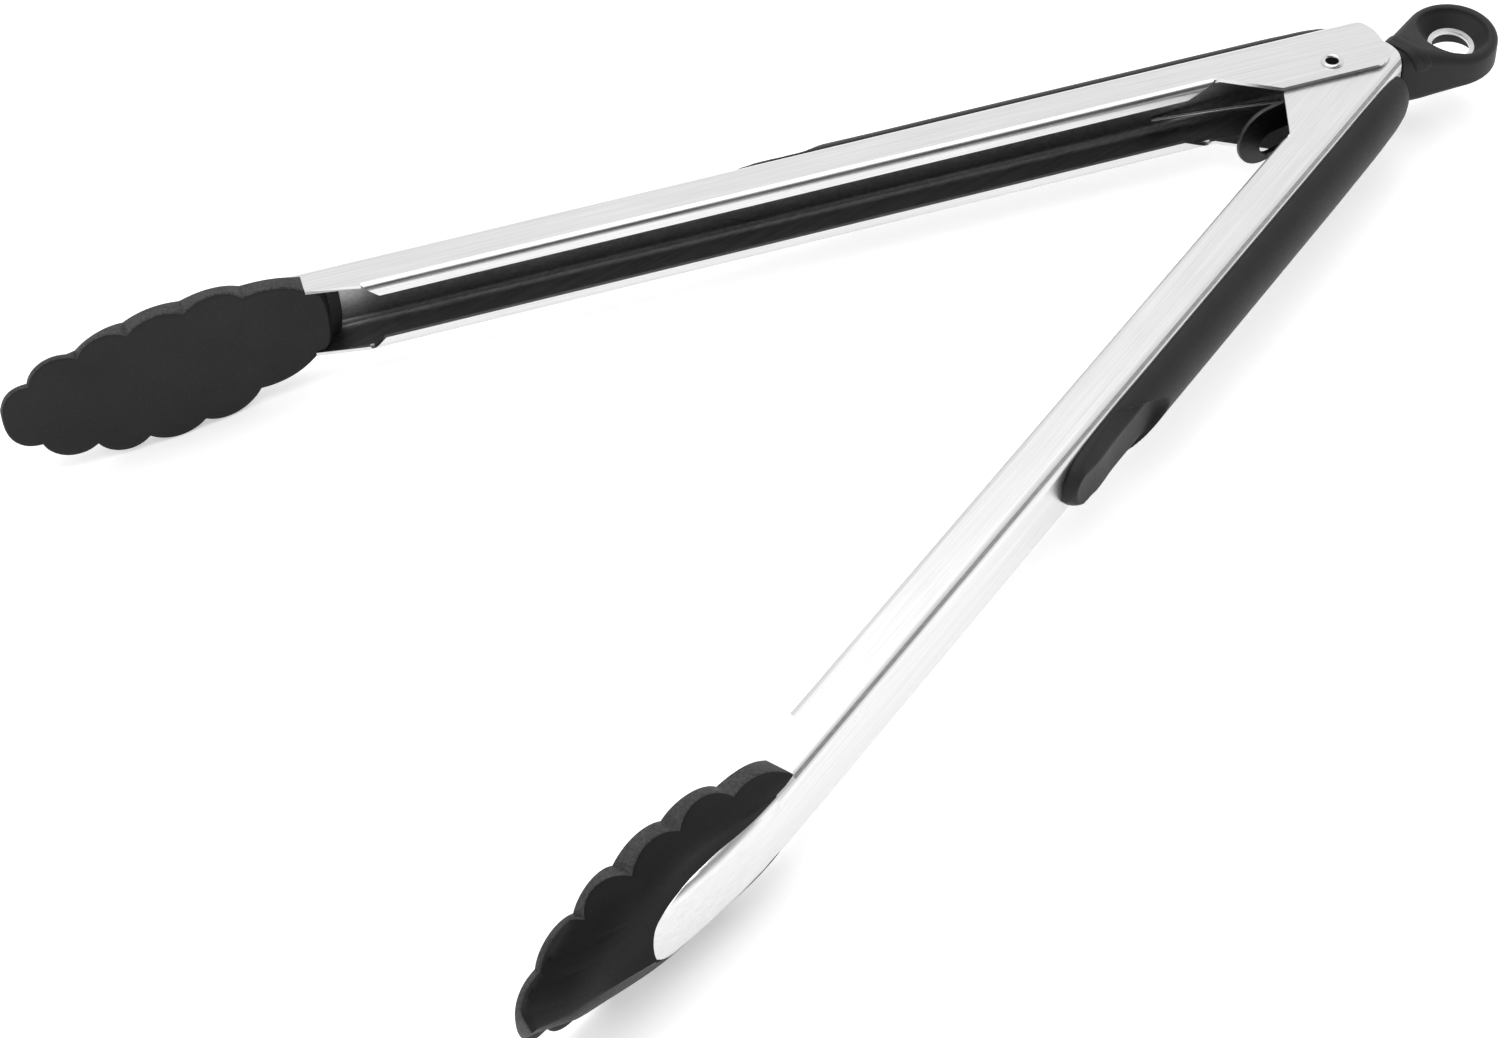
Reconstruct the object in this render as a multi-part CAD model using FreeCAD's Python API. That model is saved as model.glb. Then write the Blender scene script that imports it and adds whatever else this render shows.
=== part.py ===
import FreeCAD, Part
import math
import os

# Spring-loaded kitchen tongs, millimetres.
# Row frame: origin on the pivot axis, half way across the width.
#   +X  along the centre line of the open tongs, towards the pull tab
#   +Y  towards the outer arm
#   +Z  along the pivot axis, up, so the tongs lie on their side
# Arm frame: a runs from the pivot to the head, b points away from the other
# arm, z runs across the arm. Both arms are drawn in it and then turned.
# Slider frame: s runs out of the tail along the lock slider, n points to the
# outer arm's side, z is the row's z.

Vec = FreeCAD.Vector
Z_AXIS = Vec(0, 0, 1)
ALL_ACROSS = 60.0            # longer than any width, for cutting tools

# ---- driving dimensions -------------------------------------------------
REACH = 293.0                # pivot to the tip of a head
OPEN_HALF_ANGLE = 19.06      # each arm from the centre line, tongs open
SHEET = 0.85                 # steel thickness of the arms
OUTER_HALF = 9.15            # half the width of the outer arm
RUNNING_GAP = 0.10           # between the inner arm's cheeks and the outer's
INNER_HALF = OUTER_HALF - SHEET - RUNNING_GAP
BACK = 12.5                  # outer face of an arm's back
BEND = 2.6                   # outer radius of the bend from back to cheek
LIP_FACE = 2.2               # face of the returned lips, towards the other arm
LIP_BEND = 1.7               # outer radius of the bend from cheek to lip
LIP_WIDTH = 3.2              # how far the lips turn in

# ---- arm: stations along a ----------------------------------------------
TAIL = -13.3
CHEEK_FOOT = -4.5            # cheek edge around the pivot
NOTCH_START = 13.5
NOTCH_TOP = 25.0
NOTCH_EDGE = 3.1
LIP_START = 26.0
LIP_START_INNER = 32.6
LIP_END = 216.0
LIP_END_INNER = 212.6
CHEEK_END = 227.4
CHEEK_END_EDGE = 5.2
TONGUE_END = 268.9
TONGUE_RADIUS = 184.0        # the tongue curls towards the other arm
PIVOT_HOLE_R = 1.90

# ---- hollow rivet ---------------------------------------------------------
RIVET_R = 1.85
RIVET_BORE_R = 1.35
RIVET_BEAD_R = 0.55

# ---- grips ----------------------------------------------------------------
GRIP_INSET = 1.6             # the grip is this much narrower on each side
GRIP_FOOT = 11.5             # where the crown's half ellipse starts
GRIP_CROWN = 18.1
GRIP_START = -8.6
GRIP_END = 135.4
REST_START = 101.0           # the thumb rest cut into the crown
REST_FLOOR = 15.7

# ---- heads ----------------------------------------------------------------
# Valleys of the scalloped edge: station, half width.
VALLEYS = [(240.0, 13.0), (252.75, 15.1), (264.8, 14.5), (275.5, 12.35), (286.4, 8.35)]
# How far each lobe stands out of its chord, from the root to the nose.
LOBE_RISES = [1.5, 2.7, 2.2, 2.7, 3.0]
NOSE_POWER = 2.4             # the nose is a superellipse of this power
# Sections: station, half width of the blank, face, crown, then the half width
# and height of the rim, and the power by which the crown falls to it.
HEAD_SECTIONS = [
    (227.4, 13.0, 5.2, 12.4, 9.4, 9.9, 5.0),
    (240.0, 17.0, 3.5, 12.1, 12.7, 7.7, 3.6),
    (252.75, 18.5, 0.7, 10.8, 14.8, 5.1, 2.8),
    (264.8, 18.0, -1.0, 8.8, 14.2, 3.4, 2.4),
    (275.5, 16.2, -1.8, 6.85, 12.3, 0.7, 2.2),
    (286.4, 12.5, -2.3, 4.15, 8.35, -1.4, 2.0),
    (291.0, 9.0, -2.37, 1.0, 5.6, -1.7, 2.0),
    (293.5, 7.0, -2.4, -1.4, 5.0, -1.8, 2.0),
]
LOBE_SLOPE = 0.6             # how steeply a lobe falls outside the rim
RIM_THICKNESS = 0.4          # least thickness kept outside the rim
PLUG_START = 219.6           # the head's plug between the cheeks
PLUG_GAP = 0.03

# ---- lock slider and pull tab ----------------------------------------------
SLIDER_ANGLE = 4.0           # the slider leans this far towards the inner arm
SLIDER_N = -2.45             # middle of the plate, which passes under the rivet
PLATE = 1.0
PLATE_HALF = 7.15
PLATE_TIP = -27.05
PLATE_SHOULDER = 11.0
NECK_HALF = 4.0
NECK_START = 15.0
NECK_END = 25.5
SLOT_TIP = -21.2
SLOT_END = 6.5
SLOT_HALF = 2.65
SLOT_Z = -2.65
RING_S = 32.6
RING_TILT = 6.0              # the ring is a little short of a quarter turn
RING_PLATE_R = 7.2
HANG_HOLE_R = 4.2
TAB_START = 15.4
TAB_R = 10.1
TAB_NECK_HALF = 3.7
TAB_NECK_HEIGHT = 7.0
TAB_RING_HEIGHT = 4.0
FUNNEL_FOOT_R = 5.15
FUNNEL_MOUTH_R = 7.6

# ---- torsion spring --------------------------------------------------------
WIRE_R = 0.5
COIL_R = 4.5
COIL_LOW = -4.40
COIL_HIGH = -0.90
COIL_TURNS = 3
LEG_END = 37.0               # where a leg ends on the back of its arm
LEG_DRIFT = 0.8              # how far a leg drifts sideways
LEG_ARCH = 0.7               # how far a leg bows towards the back


# ---- drawing helpers --------------------------------------------------------
def prism(points, place, direction):
    """A straight prism over a closed polygon; place turns (u, v) into a point."""
    corners = [place(u, v) for u, v in points]
    face = Part.Face(Part.makePolygon(corners + corners[:1]))
    return face.extrude(direction)


def side_prism(points):
    """Polygon in (a, b), right across the arm."""
    return prism(points, lambda a, b: Vec(a, b, -ALL_ACROSS / 2), Vec(0, 0, ALL_ACROSS))


def plan_prism(points):
    """Polygon in (a, z), right through the arm's depth."""
    return prism(points, lambda a, z: Vec(a, -ALL_ACROSS / 2, z), Vec(0, ALL_ACROSS, 0))


def plan_face(edges):
    """Face in the plane b = -ALL_ACROSS / 2 from edges drawn there."""
    return Part.Face(Part.Wire(Part.__sortEdges__(edges)))


def rounded(solid, corners):
    """Round the edges of a side prism that stand at the given (a, b, radius)."""
    for a, b, radius in corners:
        edges = []
        for edge in solid.Edges:
            ends = [vertex.Point for vertex in edge.Vertexes]
            if all(math.hypot(p.x - a, p.y - b) < 0.01 for p in ends):
                edges.append(edge)
        solid = solid.makeFillet(radius, edges)
    return solid


def arc(first, middle, last):
    return Part.Arc(first, middle, last).toShape()


def corner_arc(centre_b, centre_z, radius, from_angle, to_angle):
    """Arc in the plane a = 0; angles in degrees from +b towards +z."""
    points = []
    for angle in (from_angle, (from_angle + to_angle) / 2, to_angle):
        turn = math.radians(angle)
        points.append(Vec(0, centre_b + radius * math.cos(turn), centre_z + radius * math.sin(turn)))
    return arc(*points)


def closed_face(edges):
    """Face from edges in order, joined by straight lines where they don't meet."""
    joined = []
    for index, edge in enumerate(edges):
        joined.append(edge)
        start = edge.lastVertex(True).Point
        end = edges[(index + 1) % len(edges)].firstVertex(True).Point
        if (end - start).Length > 1e-6:
            joined.append(Part.makeLine(start, end))
    return Part.Face(Part.Wire(joined))


def rod(path, radius):
    """Round wire of the given radius along one edge."""
    start = path.firstVertex(True).Point
    heading = path.tangentAt(path.FirstParameter)
    circle = Part.Wire([Part.makeCircle(radius, start, heading)])
    return Part.Wire([path]).makePipeShell([circle], True, True)


def one_solid(shape):
    """The single solid of a shape, with its split faces joined."""
    shape = shape.removeSplitter()
    solid = max(shape.Solids, key=lambda item: item.Volume)
    return Part.Solid(solid)


# ---- arms --------------------------------------------------------------------
def channel_face(half, foot):
    """The bent sheet in section: a back and two cheeks down to b = foot."""
    centre_b = BACK - BEND
    centre_z = half - BEND
    inner_bend = BEND - SHEET
    outside = [
        Part.makeLine(Vec(0, foot, half), Vec(0, centre_b, half)),
        corner_arc(centre_b, centre_z, BEND, 90, 0),
        corner_arc(centre_b, -centre_z, BEND, 0, -90),
        Part.makeLine(Vec(0, centre_b, -half), Vec(0, foot, -half)),
    ]
    inside = [
        Part.makeLine(Vec(0, foot, SHEET - half), Vec(0, centre_b, SHEET - half)),
        corner_arc(centre_b, -centre_z, inner_bend, -90, 0),
        corner_arc(centre_b, centre_z, inner_bend, 0, 90),
        Part.makeLine(Vec(0, centre_b, half - SHEET), Vec(0, foot, half - SHEET)),
    ]
    return closed_face(outside + inside)


def channel_blank(half):
    """Outside of the arm as a solid bar, for seating what is fixed on it."""
    centre_b = BACK - BEND
    centre_z = half - BEND
    face = closed_face([
        Part.makeLine(Vec(0, CHEEK_FOOT - 1, half), Vec(0, centre_b, half)),
        corner_arc(centre_b, centre_z, BEND, 90, 0),
        corner_arc(centre_b, -centre_z, BEND, 0, -90),
        Part.makeLine(Vec(0, centre_b, -half), Vec(0, CHEEK_FOOT - 1, -half)),
    ])
    face.translate(Vec(TAIL - 5, 0, 0))
    return face.extrude(Vec(CHEEK_END - TAIL + 5, 0, 0))


def cheek_outline():
    """Side view of the cheeks: round tail, notch, straight edge, taper."""
    lip_top = LIP_FACE + LIP_BEND
    solid = side_prism([
        (TAIL, BACK + 1),
        (TAIL, CHEEK_FOOT),
        (NOTCH_START, CHEEK_FOOT),
        (NOTCH_TOP, NOTCH_EDGE),
        (LIP_START, NOTCH_EDGE),
        (LIP_START, lip_top),
        (LIP_END, lip_top),
        (LIP_END, NOTCH_EDGE),
        (CHEEK_END, CHEEK_END_EDGE),
        (CHEEK_END, BACK + 1),
    ])
    return rounded(solid, [(TAIL, BACK + 1, 8.5), (TAIL, CHEEK_FOOT, 4.5), (NOTCH_START, CHEEK_FOOT, 1.5)])


def lips(half):
    """Both returned lips, with their ends cut on the slant."""
    centre_b = LIP_FACE + LIP_BEND
    centre_z = half - LIP_BEND
    inner_bend = LIP_BEND - SHEET
    face = closed_face([
        corner_arc(centre_b, centre_z, LIP_BEND, 90, 180),
        Part.makeLine(Vec(0, LIP_FACE, half - LIP_WIDTH), Vec(0, LIP_FACE + SHEET, half - LIP_WIDTH)),
        corner_arc(centre_b, centre_z, inner_bend, 180, 90),
    ])
    face.translate(Vec(LIP_START, 0, 0))
    lip = face.extrude(Vec(LIP_END - LIP_START, 0, 0))
    inner_z = half - LIP_WIDTH - 1
    slope_start = (LIP_START_INNER - LIP_START) / LIP_WIDTH
    slope_end = (LIP_END - LIP_END_INNER) / LIP_WIDTH
    depth = LIP_WIDTH + 1
    lip = lip.cut(plan_prism([(LIP_START, half), (LIP_START + slope_start * depth, inner_z), (LIP_START, inner_z)]))
    lip = lip.cut(plan_prism([(LIP_END, half), (LIP_END - slope_end * depth, inner_z), (LIP_END, inner_z)]))
    return lip.fuse(lip.mirror(Vec(0, 0, 0), Z_AXIS))


def tongue(half):
    """The back runs on past the cheeks as a curved, round-ended tongue."""
    section = channel_face(half, BACK - BEND - 0.05)
    section.translate(Vec(CHEEK_END, 0, 0))
    sweep = math.degrees((TONGUE_END - CHEEK_END + 4) / TONGUE_RADIUS)
    strip = section.revolve(Vec(CHEEK_END, BACK - TONGUE_RADIUS, 0), Vec(0, 0, -1), sweep)
    root = half - 0.1
    level = -ALL_ACROSS / 2
    nose = [
        (250.0, half - 0.15),
        (257.5, half - 0.5),
        (263.0, half - 1.7),
        (TONGUE_END - 2.0, half - 4.1),
        (TONGUE_END, 0.0),
    ]
    right = [Vec(a, level, z) for a, z in nose]
    left = [Vec(p.x, level, -p.z) for p in reversed(right[:-1])]
    curve = Part.BSplineCurve()
    curve.interpolate(right + left)
    start = Vec(CHEEK_END - 1, level, root)
    foot = Vec(CHEEK_END - 1, level, -root)
    edges = [
        Part.makeLine(start, right[0]),
        curve.toShape(),
        Part.makeLine(left[-1], foot),
        Part.makeLine(foot, start),
    ]
    plan = plan_face(edges).extrude(Vec(0, ALL_ACROSS, 0))
    return strip.common(plan)


def arm(half):
    """One arm: a steel channel with lips, notched at the pivot."""
    face = channel_face(half, CHEEK_FOOT - 1)
    face.translate(Vec(TAIL - 1, 0, 0))
    body = face.extrude(Vec(CHEEK_END - TAIL + 1, 0, 0))
    body = body.common(cheek_outline())
    body = body.fuse([lips(half), tongue(half)])
    hole = Part.makeCylinder(PIVOT_HOLE_R, ALL_ACROSS, Vec(0, 0, -ALL_ACROSS / 2), Z_AXIS)
    return one_solid(body.cut(hole))


def hollow_rivet():
    """Tube through all four cheeks with a rolled bead at each end."""
    end = OUTER_HALF + 0.02
    tube = Part.makeCylinder(RIVET_R, 2 * end, Vec(0, 0, -end), Z_AXIS)
    bead_radius = RIVET_BORE_R + RIVET_BEAD_R
    for side in (-1, 1):
        level = side * end
        bead = arc(Vec(bead_radius - RIVET_BEAD_R, 0, level), Vec(bead_radius, 0, level + side * RIVET_BEAD_R),
                   Vec(bead_radius + RIVET_BEAD_R, 0, level))
        inner = Vec(0, 0, level)
        lines = [
            Part.makeLine(Vec(bead_radius + RIVET_BEAD_R, 0, level), inner),
            Part.makeLine(inner, Vec(0, 0, level + side * 0.05)),
            Part.makeLine(Vec(0, 0, level + side * 0.05), Vec(bead_radius - RIVET_BEAD_R, 0, level)),
        ]
        face = Part.Face(Part.Wire([bead] + lines))
        tube = tube.fuse(face.revolve(Vec(0, 0, 0), Z_AXIS, 360))
    bore = Part.makeCylinder(RIVET_BORE_R, ALL_ACROSS, Vec(0, 0, -ALL_ACROSS / 2), Z_AXIS)
    return one_solid(tube.cut(bore))


# ---- grips -------------------------------------------------------------------
def grip_bar(half):
    """Half-elliptic bar along the arm's back, before its ends are shaped."""
    grip_half = half - GRIP_INSET
    rise = GRIP_CROWN - GRIP_FOOT
    if rise > grip_half:
        face = Part.Face(Part.Wire([Part.Ellipse(Vec(0, 0, 0), rise, grip_half).toShape()]))
        # the long half axis turns from a to b, and the short one from b to z
        face.rotate(Vec(0, 0, 0), Vec(1, 1, 1), 120)
    else:
        face = Part.Face(Part.Wire([Part.Ellipse(Vec(0, 0, 0), grip_half, rise).toShape()]))
        # the long half axis turns from a to z
        face.rotate(Vec(0, 0, 0), Vec(0, 1, 0), 90)
    face.translate(Vec(TAIL, GRIP_FOOT, 0))
    return face.extrude(Vec(GRIP_END - TAIL + 5, 0, 0))


def grip(half):
    """Crowned pad on the back of an arm, with a thumb rest at its head end."""
    profile = side_prism([
        (GRIP_START, GRIP_FOOT),
        (GRIP_START, 14.6),
        (GRIP_START + 2.0, 16.1),
        (GRIP_START + 6.6, 17.0),
        (6.0, 17.6),
        (20.0, 17.95),
        (50.0, 18.2),
        (REST_START - 3.0, 18.2),
        (REST_START, 17.8),
        (REST_START + 3.5, REST_FLOOR + 0.5),
        (REST_START + 14.0, REST_FLOOR),
        (GRIP_END - 5.0, REST_FLOOR + 0.1),
        (GRIP_END - 2.0, 14.6),
        (GRIP_END, 12.8),
        (GRIP_END, GRIP_FOOT),
    ])
    grip_half = half - GRIP_INSET
    right = [(GRIP_END - 12.0, grip_half), (GRIP_END - 4.8, grip_half - 1.2), (GRIP_END - 1.4, grip_half - 3.4)]
    left = [(a, -z) for a, z in reversed(right)]
    plan = plan_prism([(GRIP_START, grip_half)] + right + [(GRIP_END, 0.0)] + left + [(GRIP_START, -grip_half)])
    pad = grip_bar(half).common(profile).common(plan)
    return one_solid(pad.cut(channel_blank(half)))


# ---- heads -------------------------------------------------------------------
def scallop_arc(first, last, rise, level):
    """Lobe between two valleys, bulging away from the head's middle."""
    start = Vec(first[0], level, first[1])
    end = Vec(last[0], level, last[1])
    chord = end - start
    outward = Vec(-chord.z, 0, chord.x)
    outward.normalize()
    if outward.z * (start.z + end.z) < 0:
        outward = outward * -1
    return arc(start, (start + end) * 0.5 + outward * rise, end)


def nose_curve(level):
    """Superellipse from the last valley round the tip to the other side."""
    start, half_width = VALLEYS[-1]
    steps = 6
    points = []
    for step in range(-steps, steps + 1):
        turn = math.pi / 2 * step / steps
        along = abs(math.cos(turn)) ** (2 / NOSE_POWER)
        across = math.copysign(abs(math.sin(turn)) ** (2 / NOSE_POWER), -turn)
        points.append(Vec(start + (REACH - start) * along, level, half_width * across))
    curve = Part.BSplineCurve()
    curve.interpolate(points)
    return curve.toShape()


def scalloped_plan(half):
    """Plan of a head: five lobes a side and a round nose."""
    level = -ALL_ACROSS / 2
    root = (CHEEK_END, half + 0.25)
    near = [root] + VALLEYS
    edges = []
    for index, rise in enumerate(LOBE_RISES):
        start = near[index]
        end = near[index + 1]
        edges.append(scallop_arc(start, end, rise, level))
        edges.append(scallop_arc((start[0], -start[1]), (end[0], -end[1]), rise, level))
    edges.append(nose_curve(level))
    edges.append(Part.makeLine(Vec(root[0], level, -root[1]), Vec(root[0], level, root[1])))
    return plan_face(edges).extrude(Vec(0, ALL_ACROSS, 0))


def head_section(a, wide, face_b, crown_b, rim_half, rim_b, power):
    """One section of the blank, in the plane across the arm at a."""
    points = []
    steps = 8
    for index in range(-steps, steps + 1):
        z = wide * index / steps
        inside = crown_b - (crown_b - rim_b) * (abs(z) / rim_half) ** power
        outside = rim_b - LOBE_SLOPE * (abs(z) - rim_half)
        height = inside if abs(z) < rim_half else outside
        points.append(Vec(a, max(height, face_b + RIM_THICKNESS), z))
    crown = Part.BSplineCurve()
    crown.interpolate(points)
    left = Vec(a, face_b, -wide)
    right = Vec(a, face_b, wide)
    edges = [
        crown.toShape(),
        Part.makeLine(points[-1], right),
        Part.makeLine(right, left),
        Part.makeLine(left, points[0]),
    ]
    return Part.Wire(edges)


def head_blank():
    """Leaf-shaped blank: a nearly flat face and a crowned back."""
    return Part.makeLoft([head_section(*section) for section in HEAD_SECTIONS], True, False)


def head(half, steel):
    """Nylon head, moulded round the tongue and plugged between the cheeks."""
    leaf = head_blank().common(scalloped_plan(half))
    plug_half = half - SHEET - PLUG_GAP
    plug = side_prism([
        (PLUG_START, BACK - SHEET - PLUG_GAP), (PLUG_START, 9.4), (223.6, 5.8), (CHEEK_END + 1, 5.2),
        (CHEEK_END + 1, BACK - SHEET - PLUG_GAP),
    ])
    plug = plug.common(plan_prism([
        (0, plug_half - 1.0), (PLUG_START, plug_half - 1.0), (PLUG_START + 1, plug_half), (300, plug_half),
        (300, -plug_half), (PLUG_START + 1, -plug_half), (PLUG_START, 1.0 - plug_half), (0, 1.0 - plug_half),
    ]))
    return one_solid(leaf.fuse(plug).cut(steel))


# ---- lock slider and pull tab --------------------------------------------------
def slider_prism(face):
    """Give a face drawn at n = 0 in (s, z) the plate's thickness and place."""
    face.translate(Vec(0, SLIDER_N - PLATE / 2, 0))
    return face.extrude(Vec(0, PLATE, 0))


def slider_plate():
    """Round-ended plate with the slot that the spring's coil stands in."""
    round_s = PLATE_TIP + PLATE_HALF
    outline = Part.Wire([
        arc(Vec(round_s, 0, -PLATE_HALF), Vec(PLATE_TIP, 0, 0), Vec(round_s, 0, PLATE_HALF)),
        Part.makeLine(Vec(round_s, 0, PLATE_HALF), Vec(PLATE_SHOULDER, 0, PLATE_HALF)),
        Part.makeLine(Vec(PLATE_SHOULDER, 0, PLATE_HALF), Vec(NECK_START, 0, NECK_HALF)),
        Part.makeLine(Vec(NECK_START, 0, NECK_HALF), Vec(NECK_START, 0, -NECK_HALF)),
        Part.makeLine(Vec(NECK_START, 0, -NECK_HALF), Vec(PLATE_SHOULDER, 0, -PLATE_HALF)),
        Part.makeLine(Vec(PLATE_SHOULDER, 0, -PLATE_HALF), Vec(round_s, 0, -PLATE_HALF)),
    ])
    start = SLOT_TIP + SLOT_HALF
    end = SLOT_END - SLOT_HALF
    top = SLOT_Z + SLOT_HALF
    foot = SLOT_Z - SLOT_HALF
    slot = Part.Wire([
        arc(Vec(start, 0, foot), Vec(SLOT_TIP, 0, SLOT_Z), Vec(start, 0, top)),
        Part.makeLine(Vec(start, 0, top), Vec(end, 0, top)),
        arc(Vec(end, 0, top), Vec(SLOT_END, 0, SLOT_Z), Vec(end, 0, foot)),
        Part.makeLine(Vec(end, 0, foot), Vec(start, 0, foot)),
    ])
    return slider_prism(Part.Face(outline)).cut(slider_prism(Part.Face(slot)))


def twisted_neck():
    """The strip turns from standing in the slider to lying in the ring."""
    steps = 6
    wires = []
    for step in range(steps + 1):
        share = step / steps
        s = NECK_START + share * (NECK_END - NECK_START)
        turn = math.radians(90 - share * (90 - RING_TILT))
        along = Vec(0, math.cos(turn), math.sin(turn)) * NECK_HALF
        thick = Vec(0, -math.sin(turn), math.cos(turn)) * (PLATE / 2)
        middle = Vec(s, SLIDER_N, 0)
        corners = [middle + along + thick, middle - along + thick, middle - along - thick, middle + along - thick]
        wires.append(Part.makePolygon(corners + corners[:1]))
    return Part.makeLoft(wires, True, False)


def tilted(shape):
    """Turn a shape drawn flat about the slider's own axis by the ring's tilt."""
    shape.rotate(Vec(0, SLIDER_N, 0), Vec(1, 0, 0), RING_TILT)
    return shape


def ring_centre():
    return Vec(RING_S, SLIDER_N, 0)


def ring_plate():
    """Steel eye that the tongs hang from."""
    low = ring_centre() - Vec(0, 0, PLATE / 2)
    disc = Part.makeCylinder(RING_PLATE_R, PLATE, low, Z_AXIS)
    arm_length = RING_S - NECK_END + 0.3
    tail = Part.makeBox(arm_length, 2 * NECK_HALF, PLATE, Vec(NECK_END - 0.3, SLIDER_N - NECK_HALF, -PLATE / 2))
    eye = disc.fuse(tail).cut(Part.makeCylinder(HANG_HOLE_R, PLATE, low, Z_AXIS))
    return tilted(eye)


def slider_eye():
    """Outer end of the same strip: the twist and the eye."""
    return one_solid(twisted_neck().fuse(ring_plate()))


def pull_tab(steel):
    """Soft over-mould: a tall neck that spreads into a ring with two funnels."""
    centre = ring_centre()
    spread = math.degrees(math.asin((TAB_R - TAB_NECK_HALF) / (RING_S - TAB_START)))
    touch = math.radians(90 + spread)
    touch_s = RING_S + TAB_R * math.cos(touch)
    touch_n = TAB_R * math.sin(touch)
    level = -ALL_ACROSS / 2
    edges = [
        Part.makeLine(Vec(TAB_START, SLIDER_N - TAB_NECK_HALF, level), Vec(TAB_START, SLIDER_N + TAB_NECK_HALF, level)),
        Part.makeLine(Vec(TAB_START, SLIDER_N + TAB_NECK_HALF, level), Vec(touch_s, SLIDER_N + touch_n, level)),
        arc(Vec(touch_s, SLIDER_N + touch_n, level), Vec(RING_S + TAB_R, SLIDER_N, level),
            Vec(touch_s, SLIDER_N - touch_n, level)),
        Part.makeLine(Vec(touch_s, SLIDER_N - touch_n, level), Vec(TAB_START, SLIDER_N - TAB_NECK_HALF, level)),
    ]
    plan = Part.Face(Part.Wire(edges)).extrude(Vec(0, 0, ALL_ACROSS))
    half_side = [
        (TAB_START, TAB_NECK_HEIGHT), (19.5, TAB_NECK_HEIGHT), (30.0, TAB_RING_HEIGHT + 0.6),
        (RING_S + TAB_R + 1, TAB_RING_HEIGHT),
    ]
    outline = half_side + [(s, -z) for s, z in reversed(half_side)]
    side = prism(outline, lambda s, z: Vec(s, level, z), Vec(0, ALL_ACROSS, 0))
    tab = plan.common(side)
    depth = TAB_NECK_HEIGHT
    flare = FUNNEL_MOUTH_R - FUNNEL_FOOT_R
    mouth_r = FUNNEL_FOOT_R + flare * depth / TAB_RING_HEIGHT
    for direction in (1, -1):
        foot = centre + Vec(0, 0, direction * PLATE / 2)
        cone = Part.makeCone(FUNNEL_FOOT_R, mouth_r, depth, foot, Vec(0, 0, direction))
        tab = tab.cut(tilted(cone))
    return one_solid(tab.cut(steel))


# ---- torsion spring -------------------------------------------------------------
def leg_angle():
    """Where on the coil a leg leaves it, in degrees from a towards b."""
    end_b = BACK - SHEET - WIRE_R - 0.05
    reach = math.hypot(LEG_END, end_b)
    return math.degrees(math.atan2(end_b, LEG_END) + math.acos(COIL_R / reach))


def spring_leg(level, drift):
    """A leg from the coil to the back of its arm, in the arm frame."""
    turn = math.radians(leg_angle())
    end_b = BACK - SHEET - WIRE_R - 0.05
    start = Vec(COIL_R * math.cos(turn), COIL_R * math.sin(turn), level)
    end = Vec(LEG_END, end_b, level + drift)
    middle = (start + end) * 0.5 + Vec(0, LEG_ARCH, 0)
    return one_solid(rod(arc(start, middle, end), WIRE_R))


def spring_coil():
    """Close-wound coil round the rivet, in the row frame."""
    first_leg = 180 - OPEN_HALF_ANGLE - leg_angle()
    sweep = 360 * COIL_TURNS + 2 * first_leg
    height = COIL_HIGH - COIL_LOW
    pitch = height * 360 / sweep
    helix = Part.makeHelix(pitch, height, COIL_R, 0, True)
    path = helix.Edges
    start = path[0].firstVertex(True).Point
    heading = path[0].tangentAt(path[0].FirstParameter)
    circle = Part.Wire([Part.makeCircle(WIRE_R, start, heading)])
    coil = Part.Wire(path).makePipeShell([circle], True, True)
    coil.rotate(Vec(0, 0, 0), Z_AXIS, first_leg)
    coil.translate(Vec(0, 0, COIL_LOW))
    return one_solid(coil)


# ---- turning the pieces into the row frame -----------------------------------------
def as_inner(shape):
    placed = shape.copy()
    placed.rotate(Vec(0, 0, 0), Z_AXIS, 180 + OPEN_HALF_ANGLE)
    return placed


def as_outer(shape):
    placed = shape.copy()
    placed.rotate(Vec(0, 0, 0), Vec(1, 0, 0), 180)
    placed.rotate(Vec(0, 0, 0), Z_AXIS, 180 - OPEN_HALF_ANGLE)
    return placed


def as_slider(shape):
    placed = shape.copy()
    placed.rotate(Vec(0, 0, 0), Z_AXIS, -SLIDER_ANGLE)
    return placed


def build():
    """Every sub-part in the row frame, by node name."""
    parts = {}
    outer_steel = arm(OUTER_HALF)
    inner_steel = arm(INNER_HALF)
    parts["outer_arm"] = as_outer(outer_steel)
    parts["inner_arm"] = as_inner(inner_steel)
    parts["outer_grip"] = as_outer(grip(OUTER_HALF))
    parts["inner_grip"] = as_inner(grip(INNER_HALF))
    parts["outer_head"] = as_outer(head(OUTER_HALF, outer_steel))
    parts["inner_head"] = as_inner(head(INNER_HALF, inner_steel))
    parts["hollow_rivet"] = hollow_rivet()
    parts["torsion_spring_coil"] = spring_coil()
    # the outer arm is turned over, so its leg's height changes sign
    parts["torsion_spring_outer_leg"] = as_outer(spring_leg(-COIL_LOW, LEG_DRIFT))
    parts["torsion_spring_inner_leg"] = as_inner(spring_leg(COIL_HIGH, LEG_DRIFT / 2))
    eye = slider_eye()
    parts["lock_slider_plate"] = as_slider(slider_plate())
    parts["lock_slider_eye"] = as_slider(eye)
    parts["pull_tab"] = as_slider(pull_tab(eye))
    return parts


os.makedirs("parts", exist_ok=True)
for name, shape in build().items():
    shape.exportStep(f"parts/{name}.step")
    box = shape.BoundBox
    print(f"{name:26s} solids {len(shape.Solids)} valid {shape.isValid()} volume {shape.Volume:9.1f} "
          f"x {box.XMin:7.1f} {box.XMax:7.1f}  y {box.YMin:7.1f} {box.YMax:7.1f}  z {box.ZMin:6.1f} {box.ZMax:6.1f}")
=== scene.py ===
import math

import bmesh
import bpy
import numpy as np
from mathutils import Matrix, Vector


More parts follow.
